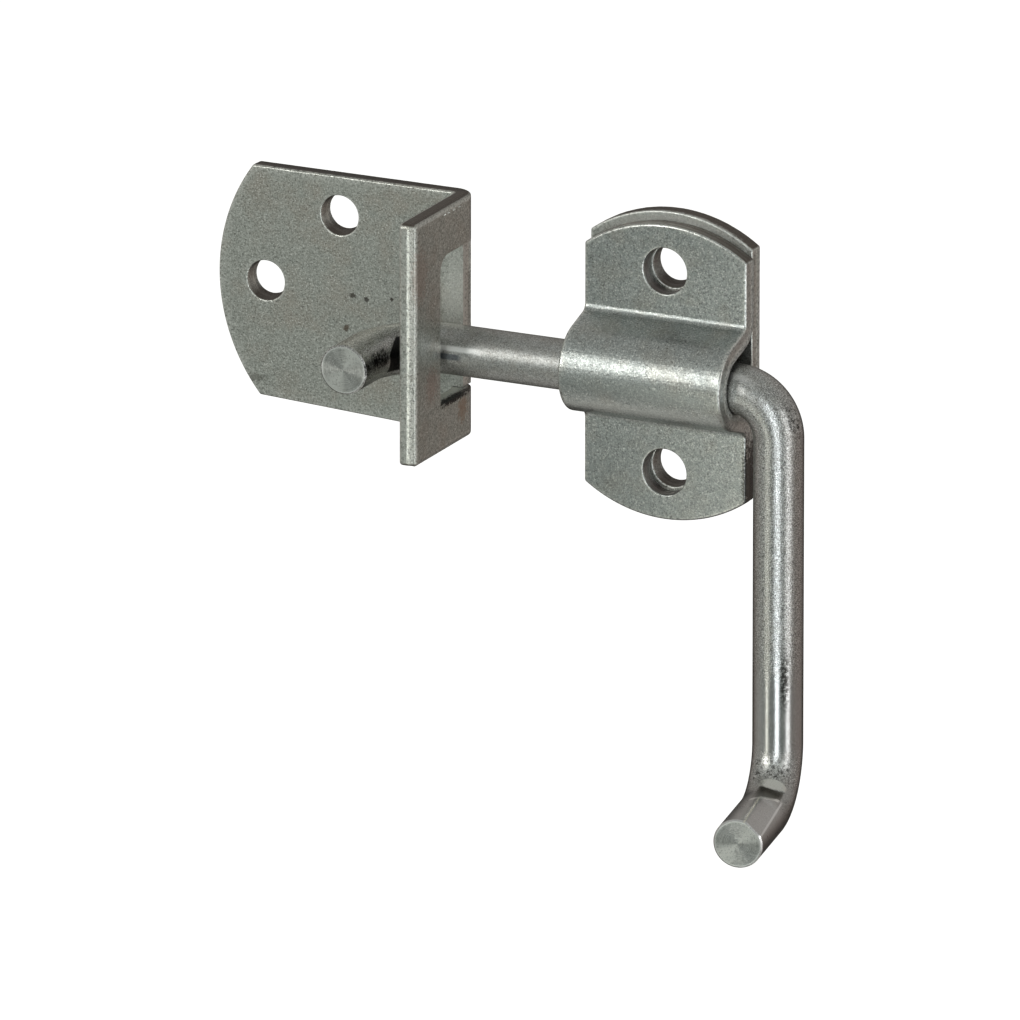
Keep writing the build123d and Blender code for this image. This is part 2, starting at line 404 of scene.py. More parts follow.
def sheet_mesh(outlines, profiles, thickness, tear_size=0.05):
    """A flat blank in X and Z, front at depth 0, with each outline's cut edge modelled in full."""
    bm = bmesh.new()
    # This layer holds wear, a painted sheen band by rims and, below 0, painted shade in holes
    wear_and_painted_light = bm.verts.layers.float.new("wear_and_painted_light")
    torn_layer = bm.verts.layers.float.new("torn")
    cut_layer = bm.verts.layers.float.new("cut")
    fronts, backs = [], []
    for outline, profile in zip(outlines, profiles):
        rings = []
        for inset, depth, worn, torn, cut in profile:
            ring = []
            for p in outline.inset(inset):
                p = p + outline.lean * (depth / thickness)
                shift = torn * tear_size * tear_noise(p.x, depth, p.y) if torn else 0.0
                v = bm.verts.new((p.x, depth, p.y))
                v[wear_and_painted_light], v[torn_layer], v[cut_layer] = worn, torn, cut
                ring.append((v, shift))
            rings.append(ring)
        for ring in rings:
            count = len(ring)
            flat = [(v.co.x, v.co.z) for v, _ in ring]
            for i, (v, shift) in enumerate(ring):
                if shift:
                    a, b = flat[i - 1], flat[(i + 1) % count]
                    t = Vector((b[0] - a[0], b[1] - a[1])).normalized()
                    v.co.x += -t.y * shift
                    v.co.z += t.x * shift
        for near, far in zip(rings, rings[1:]):
            count = len(near)
            for i in range(count):
                j = (i + 1) % count
                bm.faces.new((near[i][0], far[i][0], far[j][0], near[j][0]))
        fronts.append([v for v, _ in rings[0]])
        backs.append([v for v, _ in rings[-1]])
    for loops, back in ((fronts, False), (backs, True)):
        flat = [v for loop in loops for v in loop]
        for a, b, c in tessellate_polygon([[Vector((v.co.x, v.co.z, 0)) for v in loop] for loop in loops]):
            face = bm.faces.new((flat[a], flat[b], flat[c]))
            face.normal_update()
            if (face.normal.y > 0) != back:
                face.normal_flip()
    bmesh.ops.remove_doubles(bm, verts=bm.verts, dist=0.004)
    return bm


def cut_across(bm, axis, places):
    normal = Vector([1.0 if k == axis else 0.0 for k in range(3)])
    for place in places:
        geometry = bm.verts[:] + bm.edges[:] + bm.faces[:]
        bmesh.ops.bisect_plane(bm, geom=geometry, dist=0.0005, plane_co=normal * place, plane_no=normal)


def finish_piece(bm, name, materials, node, body, sharp=38.0):
    bmesh.ops.recalc_face_normals(bm, faces=bm.faces)
    limit = math.radians(sharp)
    for face in bm.faces:
        face.smooth = True
    for edge in bm.edges:
        if len(edge.link_faces) == 2 and edge.calc_face_angle(0.0) > limit:
            edge.smooth = False
    mesh = bpy.data.meshes.new(name)
    bm.to_mesh(mesh)
    bm.free()
    mesh.transform(Matrix.Scale(MM, 4))
    for material in materials:
        mesh.materials.append(material)
    piece = bpy.data.objects.new(name, mesh)
    bpy.context.scene.collection.objects.link(piece)
    weight = piece.modifiers.new("even_shading", "WEIGHTED_NORMAL")
    weight.keep_sharp = True
    weight.weight = 80
    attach(piece, body)
    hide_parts(node)


# Keeper

def keeper_blank():
    """Outlines of the flat blank and its window, and where its fold starts and how long it is."""
    bend_start = FLANGE_X - KEEPER_T - KEEPER_BEND_R
    bend_length = math.pi / 2 * (KEEPER_BEND_R + NEUTRAL_PART * KEEPER_T)
    bend_end = bend_start + bend_length
    outer = KEEPER_BEND_R + KEEPER_T
    right = bend_end + FLANGE_REACH - outer
    arc_x = KEEPER_LEFT_X + KEEPER_END_R
    rise = KEEPER_BOTTOM + KEEPER_TAPER
    top_angle = 180 - math.degrees(math.asin((KEEPER_TOP - KEEPER_END_Z) / KEEPER_END_R))
    low_angle = 180 + math.degrees(math.asin((KEEPER_END_Z - rise) / KEEPER_END_R))
    left = arc_points(arc_x, KEEPER_END_Z, KEEPER_END_R, top_angle, low_angle, KEEPER_END_STEPS)
    low_left = Vector((arc_x + KEEPER_END_R * math.cos(math.radians(low_angle)), rise))
    runs = [left, low_left, Vector((bend_start, KEEPER_BOTTOM)), Vector((right, KEEPER_BOTTOM)),
            Vector((right, KEEPER_TOP))]
    corner_radii = {0: 1.1, 1: 0.9, 3: 1.0, 4: 1.2}
    outline = closed_outline(runs, corner_radii)
    front = bend_end - WINDOW_FRONT_Y - outer
    low, high = WINDOW_BOTTOM, WINDOW_TOP
    slit_low, slit_high = low + WINDOW_SLIT, high - WINDOW_SLIT
    corners = ((front, low), (bend_start, low), (bend_start, slit_low), (TONGUE_X, slit_low),
               (TONGUE_X, slit_high), (bend_start, slit_high), (bend_start, high), (front, high))
    window = [Vector(corner) for corner in corners]
    window_radii = {0: 1.0, 1: 0.05, 2: 0.05, 3: 0.2, 4: 0.2, 5: 0.05, 6: 0.05, 7: 4.0}
    hole = closed_outline(window, window_radii)
    return outline, hole, bend_start, bend_length


def fold_keeper(bm, bend_start, bend_length):
    """Bends the blank forwards round the fold, except the tongue, which stays in the plate's plane."""
    outer = KEEPER_BEND_R + KEEPER_T
    middle = (WINDOW_BOTTOM + WINDOW_TOP) / 2
    tongue_half = (WINDOW_TOP - WINDOW_BOTTOM - WINDOW_SLIT) / 2
    centre = Vector((bend_start, -outer))
    for v in bm.verts:
        u, w, z = v.co
        on_tongue = u < TONGUE_X + 1.0 and abs(z - middle) < tongue_half
        if u <= bend_start or on_tongue:
            v.co = (u, w - KEEPER_T, z)
            continue
        r = KEEPER_BEND_R + w
        along = u - bend_start
        if along < bend_length:
            a = math.pi / 2 * along / bend_length
            v.co = (centre.x + r * math.sin(a), centre.y + r * math.cos(a), z)
        else:
            v.co = (centre.x + r, centre.y - (along - bend_length), z)


def window_profile(widest=0.05, polish=0.85):
    """A sharp edge, polished down to its tear, that stays within the narrow slits beside the tongue."""
    profile = []
    sharp_edge = edge_profile(KEEPER_T, roll=0.04, roll_depth=0.2, smooth_part=0.62, tear=0.02, back=0.03)
    for inset, depth, _, torn, _ in sharp_edge:
        on_wall = 0 < depth < KEEPER_T - 0.01
        torn *= on_wall
        worn = polish if on_wall and torn == 0 else 0.0
        profile.append((min(inset, widest), depth, worn, torn, torn))
    return profile


def make_keeper(materials):
    outline, window, bend_start, bend_length = keeper_blank()
    holes = [circle_outline(x, z, KEEPER_HOLE_R, KEEPER_HOLE_LEAN) for x, z in KEEPER_HOLES]
    # Its outline gets a painted highlight band next to the rim, wide here
    edge = edge_profile(KEEPER_T, roll=0.5, roll_depth=0.8, smooth_part=0.45, tear=0.06, back=0.75,
                        sheen_width=0.6, sheen_strength=0.55)
    # Its negative bright paints the hole walls darker, as shade
    hole_edge = edge_profile(KEEPER_T, roll=0.32, roll_depth=0.3, smooth_part=0.5, tear=0.05, back=0.15,
                             draw=-0.45, bright=-0.3)
    bm = sheet_mesh([outline] + holes + [window], [edge, hole_edge, hole_edge, window_profile()], KEEPER_T)
    shares = [k / KEEPER_FOLD_CUTS for k in range(KEEPER_FOLD_CUTS + 1)]
    cut_across(bm, 0, [bend_start + bend_length * share for share in shares])
    fold_keeper(bm, bend_start, bend_length)
    finish_piece(bm, "keeper_plate", materials, "keeper", "mounted")


# Bearing

def arched_outline(x, top_centre, bottom_centre, radius):
    """Straight sides and arched ends of one radius, with their centres at the two heights given."""
    rise = math.sqrt(radius ** 2 - HALF_WIDTH ** 2)
    spread = math.degrees(math.asin(HALF_WIDTH / radius))
    top = arc_points(x, top_centre, radius, 90 - spread, 90 + spread, END_STEPS)
    bottom = arc_points(x, bottom_centre, radius, 270 - spread, 270 + spread, END_STEPS)
    left = Vector((x - HALF_WIDTH, top_centre + rise))
    right = Vector((x + HALF_WIDTH, bottom_centre - rise))
    return closed_outline([top, left, bottom, right], dict.fromkeys(range(4), BEARING_CORNER_R))


def make_back_plate(materials):
    lift = PLATE_HALF_HEIGHT - PLATE_R
    outline = arched_outline(PLATE_SHIFT_X, PLATE_MIDDLE_Z + lift, PLATE_MIDDLE_Z - lift, PLATE_R)
    holes = [circle_outline(0, z, PLATE_HOLE_R, lean) for z, lean in PLATE_HOLES]
    # This edge gets a painted highlight band next to the rim
    edge = edge_profile(PLATE_T, roll=0.4, roll_depth=0.4, smooth_part=0.4, tear=0.05, back=0.3)
    # Its negative bright paints the hole walls darker, as shade
    hole_edge = edge_profile(PLATE_T, roll=0.3, roll_depth=0.3, smooth_part=0.45, tear=0.05, back=0.15,
                             draw=-0.5, bright=-0.45)
    bm = sheet_mesh([outline] + holes, [edge, hole_edge, hole_edge], PLATE_T)
    for v in bm.verts:
        v.co.y -= PLATE_T
    finish_piece(bm, "back_sheet", materials, "back_plate", "mounted")


def form_strap(bm):
    """Bends the flat blank, whose Z runs along the strap's middle line, into its hat section."""
    for v in bm.verts:
        x, w, s = v.co
        side = 1 if s >= 0 else -1
        s = abs(s)
        if s < FLANK_START:
            a = s / HUMP_MIDDLE_R
            y, z = SPINDLE_Y - (HUMP_R - w) * math.cos(a), (HUMP_R - w) * math.sin(a)
        elif s < FOLD_START:
            along = Vector((math.sin(TURN), math.cos(TURN)))
            out = Vector((-math.cos(TURN), math.sin(TURN)))
            y, z = SHOULDER + along * (s - FLANK_START) - out * w
        elif s < LUG_START:
            a = -TURN + (s - FOLD_START) / FOLD_MIDDLE_R
            y, z = BEND_Y + (FOLD_R + w) * math.cos(a), BEND_Z + (FOLD_R + w) * math.sin(a)
        else:
            y, z = LUG_FRONT_Y + w, BEND_Z + s - LUG_START
        v.co = (x, y, BORE_Z + z * side)


def make_strap(materials):
    up = LUG_START - BEND_Z - BORE_Z
    down = LUG_START - BEND_Z + BORE_Z
    outline = arched_outline(0, up, -down, STRAP_R)
    hole_x, hole_lift = STRAP_HOLE_SHIFT
    heights = (BRACKET_HOLE_Z + up, -BRACKET_HOLE_Z - down)
    holes = [circle_outline(hole_x, z + hole_lift, STRAP_HOLE_R) for z in heights]
    # This edge gets a painted highlight band next to the rim
    edge = edge_profile(STRAP_T, roll=0.6, roll_depth=0.55, smooth_part=0.5, tear=0.05, back=0.3)
    # Its negative bright paints the hole walls darker, as shade
    hole_edge = edge_profile(STRAP_T, roll=0.36, roll_depth=0.36, smooth_part=0.5, tear=0.1, back=0.1,
                             bright=-0.6)
    bm = sheet_mesh([outline] + holes, [edge, hole_edge, hole_edge], STRAP_T)
    fold_length = LUG_START - FOLD_START
    places = [FLANK_START * k / HUMP_CUTS for k in range(HUMP_CUTS + 1)]
    places += [FOLD_START + fold_length * k / STRAP_FOLD_CUTS for k in range(STRAP_FOLD_CUTS + 1)]
    cut_across(bm, 2, sorted(places + [-p for p in places[1:]]))
    form_strap(bm)
    finish_piece(bm, "strap", materials, "bearing_strap", "mounted")


# Latch rod

def rod_path(step=0.8, bend_step=2.0):
    """Points and directions along the bar's middle line, from the hook's end to the tip's end."""
    a, b = TIP_SKEW, TIP_DROOP
    way = Vector((math.cos(b) * math.sin(a), -math.cos(b) * math.cos(a), -math.sin(b)))
    foot = Vector((HANDLE_X, SPINDLE_Y, SPINDLE_Z - HANDLE_DROP))
    hook_end = Vector((HOOK_X, SPINDLE_Y - HOOK_REACH, SPINDLE_Z))
    corners = [hook_end, Vector((HOOK_X, SPINDLE_Y, SPINDLE_Z)), Vector((HANDLE_X, SPINDLE_Y, SPINDLE_Z)),
               foot, foot + way * TIP_REACH]
    radii = [0, HOOK_BEND, HANDLE_BEND, TIP_BEND, 0]
    places, ways = [], []
    here = corners[0]
    for k in range(1, len(corners)):
        t = (corners[k] - corners[k - 1]).normalized()
        if k == len(corners) - 1:
            end = corners[k]
        else:
            after = (corners[k + 1] - corners[k]).normalized()
            turn = t.angle(after)
            end = corners[k] - t * (radii[k] * math.tan(turn / 2))
        count = max(1, round((end - here).length / step))
        places += [here.lerp(end, i / count) for i in range(count)]
        ways += [t] * count
        if k == len(corners) - 1:
            places.append(end)
            ways.append(t)
            break
        inward = (after - t * t.dot(after)).normalized()
        centre = end + inward * radii[k]
        count = round(math.degrees(turn) / bend_step)
        for i in range(count):
            angle = turn * i / count
            outward, along = radii[k] * math.cos(angle), radii[k] * math.sin(angle)
            places.append(centre - inward * outward + t * along)
            ways.append((t * math.cos(angle) + inward * math.sin(angle)).normalized())
        here = centre - inward * (radii[k] * math.cos(turn)) + t * (radii[k] * math.sin(turn))
    return places, ways


def flattened(a, flat_angle, depth):
    """Distance from the middle line to the skin at an angle, for a flat of this depth facing flat_angle."""
    facing = math.cos(math.radians(a - flat_angle))
    return (ROD_R - depth) / facing if depth > 0 and facing > 0.5 else ROD_R


def rod_radius(s, a):
    """Distance from the middle line to the skin, s mm along the bar and a degrees round it.

    It is a round bar with the crease and the flat that its bending die pressed into the foot."""
    crease = min((s - CREASE_START) * CREASE_STEEP, (CREASE_END - s) * CREASE_SHALLOW)
    flat = FLAT_DEPTH * min(1.0, (s - FLAT_START) / FLAT_RUN_IN)
    flat_angle = FLAT_ANGLE - (s - FLAT_MIDDLE) * FLAT_TWIST
    return min(ROD_R, flattened(a, CREASE_ANGLE, crease), flattened(a, flat_angle, flat))


def rod_rings():
    """Rings of skin points along the bar, chamfered at both ends, and the length where each one lies."""
    places, ways = rod_path()
    lengths = [0.0]
    for near, far in zip(places, places[1:]):
        lengths.append(lengths[-1] + (far - near).length)
    side = Vector((0, 0, 1))
    rings = []
    for place, way, length in zip(places, ways, lengths):
        side = (side - way * side.dot(way)).normalized()
        other = way.cross(side)
        ring = []
        for i in range(ROD_SIDES):
            a = 2 * math.pi * i / ROD_SIDES
            out = side * math.cos(a) + other * math.sin(a)
            ring.append(place + out * rod_radius(length, math.degrees(a)))
        rings.append(ring)
    start, end = places[0], places[-1]
    inner = (ROD_R - ROD_CHAMFER) / ROD_R
    first, last = rings[0], rings[-1]
    hook_end = [[start + (p - start) * inner for p in first], [p + ways[0] * ROD_CHAMFER for p in first]]
    tip_end = [[p - ways[-1] * ROD_CHAMFER for p in last], [end + (p - end) * inner for p in last]]
    lengths = [0.0, ROD_CHAMFER] + lengths[1:-1] + [lengths[-1] - ROD_CHAMFER, lengths[-1]]
    return hook_end + rings[1:-1] + tip_end, lengths, start, end


def make_rod(materials):
    rings, lengths, start, end = rod_rings()
    bm = bmesh.new()
    turned = bm.loops.layers.uv.new("turned")
    bar = bm.loops.layers.uv.new("bar")
    made = [[bm.verts.new(p) for p in ring] for ring in rings]
    for k in range(len(made) - 1):
        near, far = made[k], made[k + 1]
        for i in range(ROD_SIDES):
            j = (i + 1) % ROD_SIDES
            face = bm.faces.new((near[i], near[j], far[j], far[i]))
            corners = ((i, k), (i + 1, k), (i + 1, k + 1), (i, k + 1))
            for loop, (turn, place) in zip(face.loops, corners):
                loop[bar].uv = (turn / ROD_SIDES, lengths[place] / BAR_MAP)
    cap_end(bm, turned, made[0], start, True)
    cap_end(bm, turned, made[-1], end, False)
    finish_piece(bm, "rod", materials, "latch_rod", "rod", sharp=30.0)


def cap_end(bm, turned, rim, middle, flip):
    """A turned end face: rings of faces round its middle, mapped by angle and radius for its tool marks."""
    rings, radii = [rim], [ROD_R - ROD_CHAMFER]
    for share in CAP_RINGS:
        rings.append([bm.verts.new(middle + (v.co - middle) * share) for v in rim])
        radii.append(radii[0] * share)
    centre = bm.verts.new(middle)

    def add_face(corners):
        """Each corner is a vertex, its share of a turn and its radius."""
        verts = [vert for vert, _, _ in corners]
        face = bm.faces.new(verts[::-1] if flip else verts)
        face.material_index = 1
        for vert, turn, radius in corners:
            for loop in face.loops:
                if loop.vert is vert:
                    loop[turned].uv = (turn, radius / CAP_MAP)

    for i in range(ROD_SIDES):
        j = (i + 1) % ROD_SIDES
        a, b = i / ROD_SIDES, (i + 1) / ROD_SIDES
        for near, far, wide, small in zip(rings, rings[1:], radii, radii[1:]):
            add_face(((near[i], a, wide), (near[j], b, wide), (far[j], b, small), (far[i], a, small)))
        inmost = rings[-1]
        add_face(((inmost[i], a, radii[-1]), (inmost[j], b, radii[-1]), (centre, (a + b) / 2, 0.0)))


# Materials, with linear colours

SCALE_PALE = (0.82, 0.83, 0.79)
SCALE_DARK = (0.11, 0.105, 0.095)
# Worn edges, and the painted sheen band next to rims
WORN_AND_SHEEN = (0.80, 0.80, 0.76)
TORN_PALE = (0.82, 0.82, 0.78)
TORN_DARK = (0.20, 0.19, 0.17)
# Painted highlight on the line where a cut starts to tear
PAINTED_TEAR_HIGHLIGHT = (1.0, 1.0, 0.90)
# Painted shade: on level cut faces, on hole walls, under things and beside the handle
PAINTED_LEVEL_SHADE = (0.095, 0.075, 0.062)
PAINTED_HOLE_SHADE = (0.11, 0.10, 0.095)
PAINTED_UNDERSIDE_SHADE = (0.06, 0.052, 0.045)
SHADE = (0.045, 0.038, 0.034)
OLD_OIL = (0.06, 0.05, 0.045)
RUST = (0.42, 0.29, 0.25)
WHITE = (1.0, 1.0, 1.0)


class Nodes:
    """Short names for building a material's nodes; place is the piece's own coordinates in mm."""

    def __init__(self, name):
        self.material = bpy.data.materials.new(name)
        self.material.use_nodes = True
        self.tree = self.material.node_tree
        self.shader = self.tree.nodes["Principled BSDF"]
        self.coords = self.add("ShaderNodeTexCoord")
        scale = self.add("ShaderNodeVectorMath", operation="SCALE")
        scale.inputs["Scale"].default_value = 1 / MM
        self.link(self.coords.outputs["Object"], scale.inputs[0])
        self.place = scale.outputs[0]

    def add(self, kind, **settings):
        node = self.tree.nodes.new(kind)
        for key, value in settings.items():
            setattr(node, key, value)
        return node

    def link(self, a, b):
        self.tree.links.new(a, b)

    def split(self, vector):
        node = self.add("ShaderNodeSeparateXYZ")
        self.link(vector, node.inputs[0])
        return node.outputs

    def uv(self, name):
        """The two coordinates of one of the piece's UV maps."""
        split = self.split(self.add("ShaderNodeUVMap", uv_map=name).outputs[0])
        return split["X"], split["Y"]

    def noise(self, scale, detail=4.0, rough=0.55):
        node = self.add("ShaderNodeTexNoise")
        node.inputs["Scale"].default_value = scale
        node.inputs["Detail"].default_value = detail
        node.inputs["Roughness"].default_value = rough
        self.link(self.place, node.inputs["Vector"])
        return node.outputs["Fac"]

    def span(self, value, low, high, to_low=0.0, to_high=1.0, smooth=False):
        node = self.add("ShaderNodeMapRange")
        if smooth:
            node.interpolation_type = "SMOOTHSTEP"
        for key, number in (("From Min", low), ("From Max", high), ("To Min", to_low), ("To Max", to_high)):
            node.inputs[key].default_value = number
        self.link(value, node.inputs["Value"])
        return node.outputs[0]

    def math(self, operation, a, b=None):
        node = self.add("ShaderNodeMath", operation=operation)
        for k, value in enumerate((a, b)):
            if value is None:
                continue
            if isinstance(value, (int, float)):
                node.inputs[k].default_value = value
            else:
                self.link(value, node.inputs[k])
        return node.outputs[0]

    def times(self, a, b):
        return self.math("MULTIPLY", a, b)

    def plus(self, a, b):
        return self.math("ADD", a, b)

    def minus(self, a, b):
        return self.math("SUBTRACT", a, b)

    def least(self, a, b):
        return self.math("MINIMUM", a, b)

    def most(self, a, b):
        return self.math("MAXIMUM", a, b)

    def mix(self, factor, a, b):
        node = self.add("ShaderNodeMix", data_type="RGBA")
        self.link(factor, node.inputs["Factor"])
        for key, value in (("A", a), ("B", b)):
            if isinstance(value, tuple):
                node.inputs[key].default_value = (*value, 1.0)
            else:
                self.link(value, node.inputs[key])
        return node.outputs["Result"]

    def bump(self, height, distance, normal=None):
        node = self.add("ShaderNodeBump")
        node.inputs["Strength"].default_value = 1.0
        node.inputs["Distance"].default_value = distance * MM
        self.link(height, node.inputs["Height"])
        if normal is not None:
            self.link(normal, node.inputs["Normal"])
        return node.outputs[0]

    def stain_and_painted_light(self, centre, radii, amount, ragged=0.5):
        """amount at a place on the piece, fading to 0 at the ellipsoid's radii, with a ragged outline."""
        away = self.add("ShaderNodeVectorMath", operation="SUBTRACT")
        self.link(self.place, away.inputs[0])
        away.inputs[1].default_value = centre
        scaled = self.add("ShaderNodeVectorMath", operation="DIVIDE")
        self.link(away.outputs[0], scaled.inputs[0])
        scaled.inputs[1].default_value = radii
        far = self.add("ShaderNodeVectorMath", operation="LENGTH")
        self.link(scaled.outputs[0], far.inputs[0])
        tatter = self.span(self.noise(1.2, 4.0, 0.7), 0.3, 0.7, -ragged, ragged)
        return self.span(self.plus(far.outputs["Value"], tatter), 1.0, 0.45, 0.0, amount, True)

    def between(self, value, low, high, soft):
        """1 where value lies well between low and high, falling to 0 at both over the width soft."""
        rise = self.math("DIVIDE", self.minus(value, low), soft)
        fall = self.math("DIVIDE", self.minus(high, value), soft)
        return self.span(self.least(rise, fall), 0.0, 1.0, 0.0, 1.0, True)

    def line(self, value, at, slope, start):
        """A number that changes evenly with value: start where value is at."""
        return self.plus(self.times(self.minus(value, at), slope), start)

    def attribute(self, name):
        return self.add("ShaderNodeAttribute", attribute_name=name).outputs["Fac"]

    def to_shader(self, **sockets):
        for key, value in sockets.items():
            socket = self.shader.inputs[key.replace("_", " ")]
            if isinstance(value, (int, float)):
                socket.default_value = value
            elif isinstance(value, tuple):
                socket.default_value = (*value, 1.0)
            else:
                self.link(value, socket)


def sheet_steel(name, dark, light, brown, rough, grain=1.0, spots=(), tear_highlight=0.2):
    """Bare rolled sheet: fine grain, cloudy patches, specks of scale, stains, painted shade and highlights,
    and brighter edges that are worn and carry a painted sheen.

    ridge is how bright the painted highlight line is where a cut edge starts to tear, and spots are rows for
    Nodes.stain: stains, painted shade and painted highlights."""
    n = Nodes(name)
    fine = n.noise(1.5, 4.0, 0.62)
    speck = n.noise(2.6, 2.0, 0.6)
    cloud = n.noise(0.11, 4.0, 0.6)
    blotch = n.noise(0.55, 5.0, 0.7)
    coarse = n.noise(1.3, 5.0, 0.72)
    colour = n.mix(n.span(fine, 0.36, 0.64), dark, light)
    colour = n.mix(n.span(blotch, 0.42, 0.66, 0.0, 0.45), colour, dark)
    colour = n.mix(n.span(cloud, 0.48, 0.68, 0.0, 0.5), colour, brown)
    colour = n.mix(n.span(speck, 0.56, 0.66, 0.0, 0.75), colour, SCALE_PALE)
    colour = n.mix(n.span(speck, 0.41, 0.33, 0.0, 0.7), colour, SCALE_DARK)

    # Cut edges: worn, with a painted sheen band by the rim, torn, a painted highlight line where the tear
    # starts, and painted shade on level faces, in holes and underneath
    wear_and_painted_light, torn, cut = n.attribute("wear_and_painted_light"), n.attribute("torn"), n.attribute("cut")
    # Above 0 this is wear and the painted sheen band; below 0 it is painted shade in holes
    worn = n.most(wear_and_painted_light, 0.0)
    hole_shade_mask = n.times(n.least(wear_and_painted_light, 0.0), -1.0)
    facing_up = n.split(n.coords.outputs["Normal"])["Z"]
    level_shade_mask = n.span(n.math("ABSOLUTE", facing_up), 0.4, 0.8, 0.0, 0.92)
    wear_sheen_grain = n.times(worn, n.span(fine, 0.36, 0.56))
    colour = n.mix(n.times(wear_sheen_grain, 0.8), colour, WORN_AND_SHEEN)
    colour = n.mix(n.times(torn, n.span(coarse, 0.46, 0.62, 0.0, 0.9)), colour, TORN_PALE)
    colour = n.mix(n.times(torn, n.span(coarse, 0.42, 0.34, 0.0, 0.6)), colour, TORN_DARK)
    # start marks the painted highlight line where a cut starts to tear
    start = n.times(n.between(torn, 0.0, 1.0, 0.45), n.span(cut, 0.8, 1.0))
    colour = n.mix(n.times(start, n.span(coarse, 0.36, 0.56, 0.15 * tear_highlight, tear_highlight)), colour, PAINTED_TEAR_HIGHLIGHT)
    # Painted shade on cut faces that lie level
    colour = n.mix(n.times(cut, level_shade_mask), colour, PAINTED_LEVEL_SHADE)
    # Painted shade on hole walls
    colour = n.mix(n.times(hole_shade_mask, n.span(coarse, 0.3, 0.7, 0.8, 1.3)), colour, PAINTED_HOLE_SHADE)
    # Painted shade on cut faces that face down
    underside_shade_mask = n.times(n.span(facing_up, -0.15, -0.55, 0.0, 0.8), n.span(worn, 0.1, 0.5))
    colour = n.mix(n.times(underside_shade_mask, n.span(blotch, 0.35, 0.5, 0.4, 1.0)), colour, PAINTED_UNDERSIDE_SHADE)
    for centre, radii, hue, amount in spots:
        colour = n.mix(n.stain_and_painted_light(centre, radii, amount), colour, hue)

    relief = n.plus(n.times(fine, 0.7), n.times(blotch, 0.8))
    normal = n.bump(relief, 0.10 * grain)
    normal = n.bump(n.times(coarse, torn), 0.5, normal)
    roughness = n.plus(n.span(blotch, 0.3, 0.7, rough - 0.06, rough + 0.08), n.times(worn, -0.06))
    n.to_shader(Base_Color=colour, Roughness=roughness, Normal=normal, Metallic=1.0)
    return n.material


